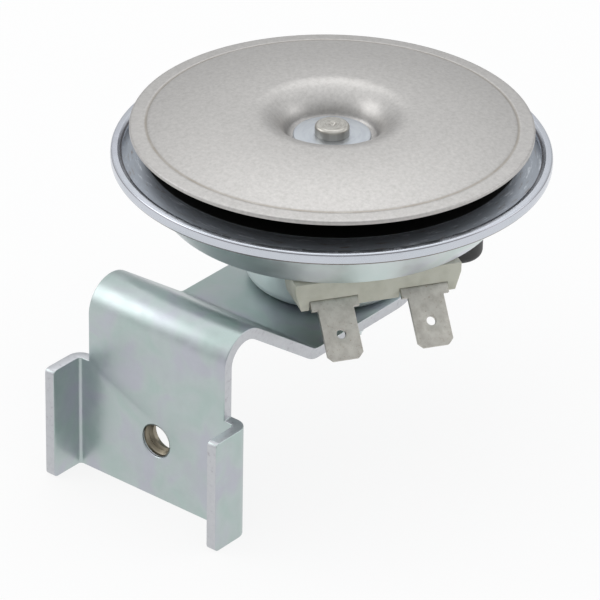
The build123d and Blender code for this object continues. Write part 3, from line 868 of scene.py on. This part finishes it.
# ----------------------------------------------------------- sub-assemblies
@dataclass
class Housing:
    """Drawn steel bowl with the coil drum below and the rolled rim on top.

    Each corner of the roll's outside is given as its inset from the rim's
    radius, its rise above the rim's foot and its rounding, from the fine seam
    at the foot to the top.
    """

    sheet: float = 0.8
    stud_r: float = 4.05
    drum_r: float = 14.8
    drum_edge: float = 2.5
    drum_h: float = 13.6
    bowl_floor_r: float = 28.6
    bowl_edge: float = 3.0
    bowl_h: float = 9.1
    neck_r: float = 34.4
    neck_round: float = 1.4
    flange_rise: float = 1.6
    rim_r: float = 38.0
    rim_h: float = 2.4
    roll: tuple[Corner, ...] = (
        (0.25, -0.11, 0.05), (0.45, 0.0, 0.03), (0.15, 0.05, 0.06), (0.07, 0.2, 0.1),
        (0.0, 0.8, 1.5), (0.05, 1.35, 0.7), (0.14, 1.86, 0.45),
    )
    land_at: float = 0.8
    land_rise: float = 2.0
    lip_r: float = 36.0
    lip_drop: float = 0.85
    lip_back: float = 0.6
    seat_r: float = 34.1
    recess_r: float = 36.8
    segments: int = 256
    arc_step: float = 7.0

    def section(self) -> list[Point]:
        """Returns the closed section of the drawn sheet."""
        low, _ = box_mm("housing")
        seat, _ = box_mm("diaphragm_gasket")
        margin, _ = box_mm("diaphragm")
        shelf = low.z
        floor = shelf + self.drum_h
        rim = floor + self.bowl_h
        top = rim + self.rim_h
        lip = top - self.lip_drop
        neck = rim - self.flange_rise
        slope = (neck - floor) / (self.neck_r - self.bowl_floor_r)
        inner_floor = floor + self.sheet
        inner_foot = self.bowl_floor_r - self.sheet * hypot(1, slope) / slope
        inner_floor_r = inner_foot + self.sheet / slope
        ledge = floor + (self.seat_r - inner_foot) * slope
        roll_in = self.rim_r - self.sheet
        drum_in = self.drum_r - self.sheet
        return rounded([
            (self.stud_r, shelf, 0),
            (self.drum_r, shelf, self.drum_edge),
            (self.drum_r, floor, self.sheet),
            (self.bowl_floor_r, floor, self.bowl_edge),
            (self.neck_r, neck, self.neck_round),
            *[(self.rim_r - inset, rim + rise, edge) for inset, rise, edge in self.roll],
            (self.lip_r + self.land_at, rim + self.land_rise, 0.3),
            (self.lip_r, lip, 0.12),
            (self.lip_r, lip - self.sheet, 0.1),
            (self.lip_r + self.lip_back, lip - self.sheet, 0.1),
            (roll_in, top - 1.5 * self.sheet, 0.3),
            (roll_in, margin.z, 0.2),
            (self.recess_r, margin.z, 0),
            (self.recess_r, seat.z, 0),
            (self.seat_r, seat.z, 0.2),
            (self.seat_r, ledge, 0.3),
            (inner_floor_r, inner_floor, self.bowl_edge - self.sheet),
            (drum_in, inner_floor, 2 * self.sheet),
            (drum_in, shelf + self.sheet, self.drum_edge - self.sheet),
            (self.stud_r, shelf + self.sheet, 0),
        ], step=self.arc_step)

    def make(self, zinc: Material) -> list[Piece]:
        """Makes the housing.

        Args:
            zinc: its finish.

        Returns:
            The housing.
        """
        piece = Turning(self.segments).make("horn_housing", self.section(), zinc)
        return [fix(piece, Body.CASING, Slot.ZINC, "housing")]


@dataclass
class Diaphragm:
    """Spring steel sheet that rises from under the rolled lip to a black middle."""

    thick: float = 0.35
    edge_r: float = 36.7
    bend_r: float = 35.6
    margin_r: float = 32.35
    rise: float = 1.22
    bend: float = 2.0
    clamp_r: float = 9.0
    bore_r: float = 2.55

    def make(self, steel: Material) -> list[Piece]:
        """Makes the diaphragm; it is attached to neither the casing nor the vibrator.

        Args:
            steel: its finish.

        Returns:
            The diaphragm.
        """
        low, high = box_mm("diaphragm")
        margin, centre = low.z, high.z - self.thick
        under = [
            (self.edge_r, margin, 0),
            (self.bend_r, margin, self.bend),
            (self.margin_r, margin + self.rise, self.bend),
            (self.clamp_r, centre, self.bend),
            (self.bore_r, centre, 0),
        ]
        over = [(r, z + self.thick, rounding) for r, z, rounding in reversed(under)]
        piece = Turning().make("diaphragm_sheet", rounded(under + over), steel)
        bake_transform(piece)
        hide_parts("diaphragm")
        return [piece]


@dataclass
class Resonator:
    """Crowned disc with a funnel in the middle, held by a washer and a head.

    Each corner of the cut edge is given as its inset and its drop below the
    top: a fine burr under a rolled top corner.
    """

    thick: float = 0.8
    disc_r: float = 34.75
    crown_r: float = 13.7
    crown_h: float = 2.4
    crown_steps: int = 84
    funnel_r: float = 6.0
    funnel_angle: float = 70.0
    funnel_steps: int = 20
    foot: float = 1.2
    groove_at: float = 31.9
    groove_wide: float = 0.5
    groove_deep: float = 0.16
    band_slope: float = 0.09
    edge: tuple[Point, ...] = ((0.12, 0.78), (0.0, 0.68), (0.0, 0.2), (0.06, 0.06))
    edge_roll: float = 0.2
    bore_r: float = 2.5
    disc_segments: int = 256
    disc_sharp: float = 50.0
    washer_segments: int = 128
    rivet_segments: int = 96
    plunger_r: float = 6.2
    plunger_h: float = 5.85
    plate_r: float = 9.0
    plate_gap: float = 0.35
    head_r: float = 3.0
    dimple: float = 0.5

    def top_line(self, edge_z: float, floor_z: float) -> list[Point]:
        """Top of the disc from its edge to its bore.

        Args:
            edge_z: height of the edge.
            floor_z: height of the clamped floor's top.

        Returns:
            Radius and height of each point.
        """
        top_z = edge_z + self.crown_h
        band_rise = (self.disc_r - self.groove_at) * self.band_slope
        span = self.groove_at - self.crown_r
        drop = self.crown_h - band_rise
        arc_r = (span ** 2 + drop ** 2) / (2 * drop)
        points: list[Point] = []
        for i in range(self.crown_steps + 1):
            r = self.disc_r - (self.disc_r - self.crown_r) * i / self.crown_steps
            z = edge_z + (self.disc_r - r) * self.band_slope
            if r < self.groove_at:
                z = top_z - arc_r + sqrt(arc_r ** 2 - (r - self.crown_r) ** 2)
            away = (r - self.groove_at) / (self.groove_wide / 2)
            if abs(away) < 1:
                z -= self.groove_deep * cos(away * pi / 2) ** 2
            points.append((r, z))
        for i in range(1, self.funnel_steps + 1):
            angle = radians(self.funnel_angle) * i / self.funnel_steps
            points.append((
                self.crown_r - self.funnel_r * sin(angle),
                top_z - self.funnel_r * (1 - cos(angle)),
            ))
        last_r, last_z = points[-1]
        throat = last_r - (last_z - floor_z) / tan(radians(self.funnel_angle))
        bend = rounded(
            [(last_r, last_z, 0), (throat, floor_z, self.foot), (self.bore_r, floor_z, 0)],
            closed=False,
        )
        return points + bend[1:]

    def section(self) -> list[Point]:
        """Returns the closed section of the pressed disc."""
        low, high = box_mm("resonator_disc")
        edge_z = high.z - self.crown_h
        floor_z = low.z + self.thick
        top = self.top_line(edge_z, floor_z)
        under: list[Point] = []
        for i, (r, z) in enumerate(top):
            back = Vector(top[max(i - 1, 0)])
            ahead = Vector(top[min(i + 1, len(top) - 1)])
            run = (ahead - back).normalized()
            under.append((r - run.y * self.thick, z + run.x * self.thick))
        under[-1] = (self.bore_r, floor_z - self.thick)
        edge = [(self.disc_r - inset, edge_z - drop) for inset, drop in self.edge]
        edge.append((self.disc_r - self.edge_roll, top[0][1]))
        return edge + top[1:] + under[::-1][:-2]

    def make(self, satin: Material, nickel: Material, blue: Material) -> list[Piece]:
        """Makes the disc, its washer and the armature with its riveted head.

        Args:
            satin: finish of the disc.
            nickel: finish of the armature.
            blue: finish of the washer.

        Returns:
            The pieces.
        """
        disc = Turning(self.disc_segments).make(
            "resonator", self.section(), satin, self.disc_sharp
        )
        fix(disc, Body.VIBRATOR, Slot.DISC, "resonator_disc")
        low, high = box_mm("disc_washer")
        outer = (high.x - low.x) / 2
        washer = Turning(self.washer_segments).make("clamp_washer", rounded([
            (self.bore_r, low.z, 0), (outer, low.z, 0.1), (outer, high.z, 0.25),
            (self.bore_r, high.z, 0),
        ]), blue)
        fix(washer, Body.VIBRATOR, Slot.NICKEL, "disc_washer")
        return [disc, washer, self.make_armature(high.z, nickel)]

    def make_armature(self, washer_top: float, nickel: Material) -> Piece:
        """Makes the armature with the riveted head that shows in the washer.

        Args:
            washer_top: height of the washer's top.
            nickel: its finish.

        Returns:
            The armature.
        """
        low, high = box_mm("armature")
        spacer, _ = box_mm("disc_spacer")
        plate_low = low.z + self.plunger_h
        plate_top = spacer.z - self.plate_gap
        top = high.z
        section = [(0, low.z)] + rounded([
            (self.plunger_r, low.z, 0.2),
            (self.plunger_r, plate_low, 0.2),
            (self.plate_r, plate_low, 0.2),
            (self.plate_r, plate_top, 0.2),
            (self.bore_r, plate_top, 0),
            (self.bore_r, washer_top, 0),
            (self.head_r, washer_top, 0.05),
            (self.head_r, top, 0.6),
            (self.dimple + 0.15, top, 0.15),
            (self.dimple * 0.5, top - self.dimple * 0.8, 0.2),
            (0, top - self.dimple, 0),
        ], closed=False)
        piece = Turning(self.rivet_segments).make("armature_rivet", section, nickel)
        return fix(piece, Body.VIBRATOR, Slot.NICKEL, "armature")


class StripFace(Enum):
    """Kinds of face on the bracket; each value is its finish's place in the mesh."""

    ROLLED = 0
    SHEARED = 1
    TAPPED = 2


@dataclass
class Bracket:
    """Folded steel strip: plate with tabs, arch, slope, shelf and round tail.

    A face gets its finish by its place and its unit normal. A face looks along an
    axis where that part of its normal is over `facing`, squarely where it is over
    `squarely`, and across the axis where it is under `edgeways`.
    """

    strip_w: float = 30.0
    sheet: float = 2.0
    fold_end: float = 2.1
    edge_round: float = 0.16
    crest_r: float = 2.5
    root_r: float = 3.0
    pitch: float = 1.0
    collar_r: float = 6.0
    collar_end: float = 3.7
    tip: float = 0.5
    slack: float = 0.3
    facing: float = 0.8
    squarely: float = 0.95
    edgeways: float = 0.3

    def is_sheared(self, centre: Vector, normal: Vector) -> bool:
        """Tells a cut edge of the strip from its rolled faces.

        Args:
            centre: centre of a face, in millimetres.
            normal: its normal.

        Returns:
            True on a cut edge.
        """
        low, _ = box_mm("bracket")
        if centre.y < self.fold_end and abs(centre.x) > self.strip_w / 2 - self.sheet:
            end = normal.y < -self.facing and centre.y < low.y + self.tip
            return end or abs(normal.z) > self.facing
        if centre.y > HORN_Y:
            return abs(normal.z) < self.edgeways
        side = abs(normal.x) > self.facing and hypot(centre.x, centre.z) > self.collar_r
        foot = normal.z < -self.squarely and centre.z < low.z + self.slack
        return side or foot

    def make(self, zinc: Material, cut: Material, bare: Material) -> list[Piece]:
        """Makes the bracket and the thread in its mounting hole.

        Args:
            zinc: finish of the rolled faces.
            cut: finish of the sheared edges.
            bare: finish of the tapped thread.

        Returns:
            The pieces.
        """
        piece = refined_copy("horn_bracket", "bracket", self.edge_round)
        self.open_bore(piece.data)
        for finish in (zinc, cut, bare):
            piece.data.materials.append(finish)
        for face in piece.data.polygons:
            face.material_index = self.kind_of(face.center / MM, face.normal).value
        fix(piece, Body.CASING, Slot.ZINC, "bracket")
        thread = Thread(self.crest_r, self.root_r, self.pitch).make("hole_thread", bare)
        return [piece, fix(thread, Body.CASING, Slot.ZINC)]

    def open_bore(self, mesh: bpy.types.Mesh) -> None:
        """Widens the tapped bore from the thread's crests to its roots.

        Args:
            mesh: mesh of the bracket.
        """
        for vertex in mesh.vertices:
            x, y, z = vertex.co / MM
            away = hypot(x, z)
            if away < self.crest_r + self.slack and y < self.collar_end + self.slack:
                grown = self.root_r + (away - self.crest_r)
                vertex.co = Vector((x * grown / away, y, z * grown / away)) * MM

    def kind_of(self, centre: Vector, normal: Vector) -> StripFace:
        """Tells which kind a face of the bracket is.

        Args:
            centre: centre of the face, in millimetres.
            normal: its normal.

        Returns:
            Its kind.
        """
        in_bore = (
            hypot(centre.x, centre.z) < self.root_r + self.slack / 2
            and centre.y < self.collar_end + self.slack
        )
        if in_bore and abs(normal.y) < self.edgeways:
            return StripFace.TAPPED
        return StripFace.SHEARED if self.is_sheared(centre, normal) else StripFace.ROLLED


@dataclass
class Thread:
    """Screw thread cut in a bore, as a ridge that winds along it."""

    crest_r: float = 2.5
    root_r: float = 3.0
    pitch: float = 1.0
    start: float = 0.8
    end: float = 3.15
    steps_a_turn: int = 72
    sharp: float = 30.0

    def tree(self) -> Tree:
        """Returns the node tree that winds the ridge and lays it along the bore."""
        tree, given = start_tree("wound_thread", {
            "Root Radius": "Float", "Turns": "Float", "Length": "Float", "Steps": "Int",
            "Ridge": "Float", "Start": "Vector", "Lie Along": "Rotation",
            "Finish": "Material",
        })
        helix = add_node(tree, "GeometryNodeCurveSpiral", {
            "Resolution": given["Steps"], "Rotations": given["Turns"],
            "Start Radius": given["Root Radius"], "End Radius": given["Root Radius"],
            "Height": given["Length"],
        })
        upright = add_node(tree, "GeometryNodeSetCurveNormal", {
            "Curve": helix.outputs["Curve"],
        }, mode="Z_UP")
        ridge = add_node(tree, "GeometryNodeCurvePrimitiveCircle", {
            "Resolution": 4, "Radius": given["Ridge"],
        })
        wound = add_node(tree, "GeometryNodeCurveToMesh", {
            "Curve": upright.outputs["Curve"], "Profile Curve": ridge.outputs["Curve"],
            "Fill Caps": True,
        })
        laid = add_node(tree, "GeometryNodeTransform", {
            "Geometry": wound.outputs["Mesh"], "Translation": given["Start"],
            "Rotation": given["Lie Along"],
        })
        return end_tree(tree, laid.outputs["Geometry"], given["Finish"])

    def make(self, name: str, finish: Material) -> Piece:
        """Winds the thread from the mouth of the mounting hole to its end.

        Args:
            name: name of the piece.
            finish: finish of the thread.

        Returns:
            The thread.
        """
        length = self.end - self.start
        turns = length / self.pitch
        piece = mesh_piece(name, bpy.data.meshes.new(name))
        return run_tree(piece, self.tree(), {
            "Root Radius": self.root_r * MM,
            "Turns": turns,
            "Length": length * MM,
            "Steps": round(self.steps_a_turn * turns),
            "Ridge": (self.root_r - self.crest_r) * MM,
            "Start": (0.0, self.start * MM, 0.0),
            "Lie Along": (radians(-90), 0.0, 0.0),
            "Finish": finish,
        }, self.sharp)


@dataclass
class TerminalBlock:
    """Cream block under the bowl with two tab terminals riveted to it."""

    block_edge: float = 0.3
    blade_edge: float = 0.09

    def make(self, nylon: Material, tin: Material) -> list[Piece]:
        """Makes the block and its blades.

        Args:
            nylon: finish of the block.
            tin: finish of the blades.

        Returns:
            The pieces.
        """
        return dressed_copies(
            ("terminal_moulding", "terminal_block", self.block_edge, nylon, Slot.NYLON),
            ("tab_left", "terminal_blade_left", self.blade_edge, tin, Slot.TIN),
            ("tab_right", "terminal_blade_right", self.blade_edge, tin, Slot.TIN),
        )


@dataclass
class Fastening:
    """Black cap of the adjusting screw, and the nut and washer of the stud."""

    edge: float = 0.15
    nut_edge: float = 0.12

    def make(self, black: Material, zinc: Material) -> list[Piece]:
        """Makes the cap, the nut and the lock washer.

        Args:
            black: finish of the cap.
            zinc: finish of nut and washer.

        Returns:
            The pieces.
        """
        return dressed_copies(
            ("screw_cap", "adjuster_cap", self.edge, black, Slot.BLACK),
            ("stud_nut", "bracket_nut", self.nut_edge, zinc, Slot.ZINC),
            ("spring_washer", "lock_washer", self.edge, zinc, Slot.ZINC),
        )


@dataclass
class Studio:
    """Pale floor, soft lamps and the camera.

    Each lamp is given as its name, its place, its width and its height, all in
    millimetres, and its power in watts.
    """

    camera_at: Place = (424.42, -488.16, 396.36)
    camera_to: Place = (-3.88, 42.92, 7.51)
    camera_roll: float = 1.076
    lens: float = 269.5
    sensor: float = 36.0
    clip: float = 10.0
    floor_gap: float = 0.05
    floor_half: float = 3000.0
    floor_colour: str = "#e4e4e4"
    floor_rough: float = 0.9
    glow_seen: float = 0.86
    glow_mirrored: float = 0.88
    backdrop: str = "#fdfeff"
    front: Place = (0.622, -0.783, 0.0)
    least: float = 0.45
    level: float = 0.3
    toward_front: float = -0.13
    overhead: float = 0.98
    sides: float = 0.3
    sides_from: float = 0.55
    sides_full: float = 0.95
    lamp_aim: Place = (0.0, HORN_Y, 20.0)
    lamps: tuple[tuple[str, Place, float, float, float], ...] = (
        ("left", (-448, -266, 330), 380, 360, 0.66),
        ("right", (407, 433, 175), 360, 200, 0.3),
        ("back_top", (-215, 297, 540), 340, 320, 0.3),
    )

    def add_camera(self) -> None:
        """Adds the camera, aimed and rolled."""
        data = bpy.data.cameras.new("camera")
        data.lens = self.lens
        data.sensor_width = self.sensor
        data.clip_start = self.clip * MM
        camera = bpy.data.objects.new("camera", data)
        bpy.context.scene.collection.objects.link(camera)
        place = Vector(self.camera_at) * MM
        ahead = (Vector(self.camera_to) * MM - place).normalized()
        right = ahead.cross(Vector((0, 0, 1))).normalized()
        up = right.cross(ahead)
        roll = radians(self.camera_roll)
        image_right = right * cos(roll) + up * sin(roll)
        image_up = up * cos(roll) - right * sin(roll)
        turn = Matrix((image_right, image_up, -ahead)).transposed()
        camera.matrix_world = Matrix.Translation(place) @ turn.to_4x4()
        bpy.context.scene.camera = camera

    def add_lamps(self) -> None:
        """Adds the soft rectangular lamps, which face the horn."""
        for name, at, width, height, power in self.lamps:
            data = bpy.data.lights.new(name, "AREA")
            data.shape = "RECTANGLE"
            data.size, data.size_y = width * MM, height * MM
            data.energy = power
            lamp = bpy.data.objects.new(name, data)
            lamp.location = Vector(at) * MM
            aim = Vector(self.lamp_aim) * MM - lamp.location
            lamp.rotation_euler = aim.to_track_quat("-Z", "Y").to_euler()
            bpy.context.scene.collection.objects.link(lamp)

    def add_floor(self) -> None:
        """Adds the pale floor under the bracket."""
        low, _ = box_mm("bracket")
        half = self.floor_half * MM
        level = (low.z - self.floor_gap) * MM
        corners = [(x * half, y * half, level) for x, y in ((-1, -1), (1, -1), (1, 1), (-1, 1))]
        mesh = bpy.data.meshes.new("floor")
        mesh.from_pydata(corners, [], [(0, 1, 2, 3)])
        face = Surface("pale_floor", 0.0, self.floor_rough)
        face.shader.inputs["Base Color"].default_value = linear(self.floor_colour)
        tree = face.tree
        # Seen directly or in the metal, the floor is a paler sweep of the same white.
        path = add_node(tree, "ShaderNodeLightPath")
        seen = add_node(tree, "ShaderNodeMath", {
            0: path.outputs["Is Camera Ray"], 1: self.glow_seen,
        }, operation="MULTIPLY")
        share = add_node(tree, "ShaderNodeMath", {
            0: path.outputs["Is Glossy Ray"], 1: self.glow_mirrored, 2: seen.outputs["Value"],
        }, operation="MULTIPLY_ADD")
        glow = add_node(tree, "ShaderNodeEmission", {"Color": linear("#ffffff")})
        both = add_node(tree, "ShaderNodeMixShader", {
            0: share.outputs["Value"], 1: face.shader.outputs["BSDF"], 2: glow.outputs["Emission"],
        })
        tree.links.new(both.outputs["Shader"], tree.nodes["Material Output"].inputs["Surface"])
        mesh.materials.append(face.material)
        mesh_piece("floor", mesh)

    def add_world(self) -> None:
        """Adds the light of a white tent, open in front, and a white backdrop."""
        world = bpy.data.worlds.new("studio")
        bpy.context.scene.world = world
        world.use_nodes = True
        tree = world.node_tree
        way = add_node(tree, "ShaderNodeTexCoord").outputs["Generated"]
        x, y, _ = self.front
        ahead, aside = (
            add_node(tree, "ShaderNodeVectorMath", {
                0: way, 1: axis,
            }, operation="DOT_PRODUCT").outputs["Value"]
            for axis in (self.front, (-y, x, 0.0))
        )
        height = add_node(tree, "ShaderNodeSeparateXYZ", {"Vector": way}).outputs["Z"]
        light: float | Socket = self.level
        for share, gain in ((ahead, self.toward_front), (height, self.overhead)):
            light = add_node(tree, "ShaderNodeMath", {
                0: share, 1: gain, 2: light,
            }, operation="MULTIPLY_ADD").outputs["Value"]
        evened = add_node(tree, "ShaderNodeMath", {
            0: light, 1: self.least,
        }, operation="MAXIMUM")
        beside = add_node(tree, "ShaderNodeMath", {0: aside}, operation="ABSOLUTE")
        wall = add_node(tree, "ShaderNodeMapRange", {
            "Value": beside.outputs["Value"], "From Min": self.sides_from,
            "From Max": self.sides_full, "To Max": self.sides,
        }, interpolation_type="SMOOTHSTEP")
        level = add_node(tree, "ShaderNodeMath", {
            0: evened.outputs["Value"], 1: wall.outputs["Result"],
        })
        path = add_node(tree, "ShaderNodeLightPath")
        strength = add_node(tree, "ShaderNodeMath", {
            0: level.outputs["Value"], 1: path.outputs["Is Camera Ray"],
        }, operation="MAXIMUM")
        back = tree.nodes["Background"]
        back.inputs["Color"].default_value = linear(self.backdrop)
        tree.links.new(strength.outputs["Value"], back.inputs["Strength"])

    def make(self) -> None:
        """Makes the whole studio."""
        self.add_camera()
        self.add_floor()
        self.add_world()
        self.add_lamps()
        bpy.context.scene.view_settings.view_transform = "Standard"


# ------------------------------------------------------------------- the horn
HIDDEN_FINISHES: dict[str, Finish] = {
    "diaphragm_gasket": Moulding("fibre_gasket", "#6d4a36", "#5d3d2c", 0.7),
    "disc_spacer": TurnedMetal("spacer_nickel"),
    "pole_stud": TurnedMetal("stud_steel", "#b9bcbd", "#9fa2a4", ring=0.4, roughness=0.35),
    "coil_bobbin": Moulding("bobbin_moulding", "#3a3632", "#2e2b28"),
    "coil_winding": WoundWire("enamelled_wire"),
    "terminal_rivets": TinnedBrass("rivet_tin"),
    "contact_base": Moulding("breaker_fibre", "#74503a", "#5d3d2c", 0.7),
    "fixed_contact_arm": TurnedMetal("arm_nickel"),
    "leaf_insulator": Moulding("insulator_fibre", "#74503a", "#5d3d2c", 0.7),
    "contact_leaf": TurnedMetal("leaf_bronze", "#c08f5c", "#a87a4b", ring=3.0),
    "leaf_bead": Moulding("bead_moulding"),
    "contact_points": TurnedMetal(
        "contact_tungsten", "#77777b", "#5d5d61", ring=1.0, roughness=0.4
    ),
    "spark_resistor": Moulding("resistor_ceramic", "#c9c2b0", "#b3ac9a", 0.6),
    "adjusting_screw": TurnedMetal("screw_nickel"),
}


def dress_nodes() -> list[Piece]:
    """Gives every CAD node that still shows its finish.

    Returns:
        Those nodes.
    """
    nodes = [bpy.data.objects[node] for node in HIDDEN_FINISHES]
    for node, finish in zip(nodes, HIDDEN_FINISHES.values()):
        node.data.materials.clear()
        node.data.materials.append(finish.build())
    return nodes


def report(pieces: list[Piece]) -> None:
    """Logs the name and the number of faces of each piece."""
    for piece in pieces:
        LOG.info("%s: %d faces", piece.name, len(piece.data.polygons))


def main() -> None:
    """Builds the horn and its studio, in order."""
    logging.basicConfig(level=logging.INFO, format="%(name)s: %(message)s")
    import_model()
    report(dress_nodes())
    zinc = RimmedZinc(
        "bright_zinc_sheet", "#dfe6e6", "#dcdfe6", "#d5e1df", patch=14.0, cloud=0.02, depth=0.0
    ).build()
    strip_zinc = ZincPlate("bright_zinc_strip", patch=7.0, roughness=0.34, depth=0.006).build()
    cut = ShearedEdge("sheared_strip_edge").build()
    report(Housing().make(zinc))
    report(Diaphragm().make(SpringSteel("blued_spring_steel").build()))
    report(Resonator().make(
        SatinDisc("satin_zinc_disc").build(),
        TurnedMetal("turned_nickel").build(),
        TurnedMetal("blue_zinc_washer", "#bfc4c9", "#b6bbc2", ring=0.6, roughness=0.38).build(),
    ))
    # Olive-brown turns where the tap cut through the plating, darkened as painted shade of the
    # bore.
    tapped = TurnedMetal("tapped_thread", "#979082", "#6f6858", ring=0.8, roughness=0.4).build()
    report(Bracket().make(strip_zinc, cut, tapped))
    report(TerminalBlock().make(
        Moulding("cream_nylon", glow=0.15).build(), TinnedBrass("matt_tin").build()
    ))
    report(Fastening().make(Moulding("black_moulding", "#2b2b2b", "#232323").build(), zinc))
    Studio().make()


if __name__ == "__main__":
    main()
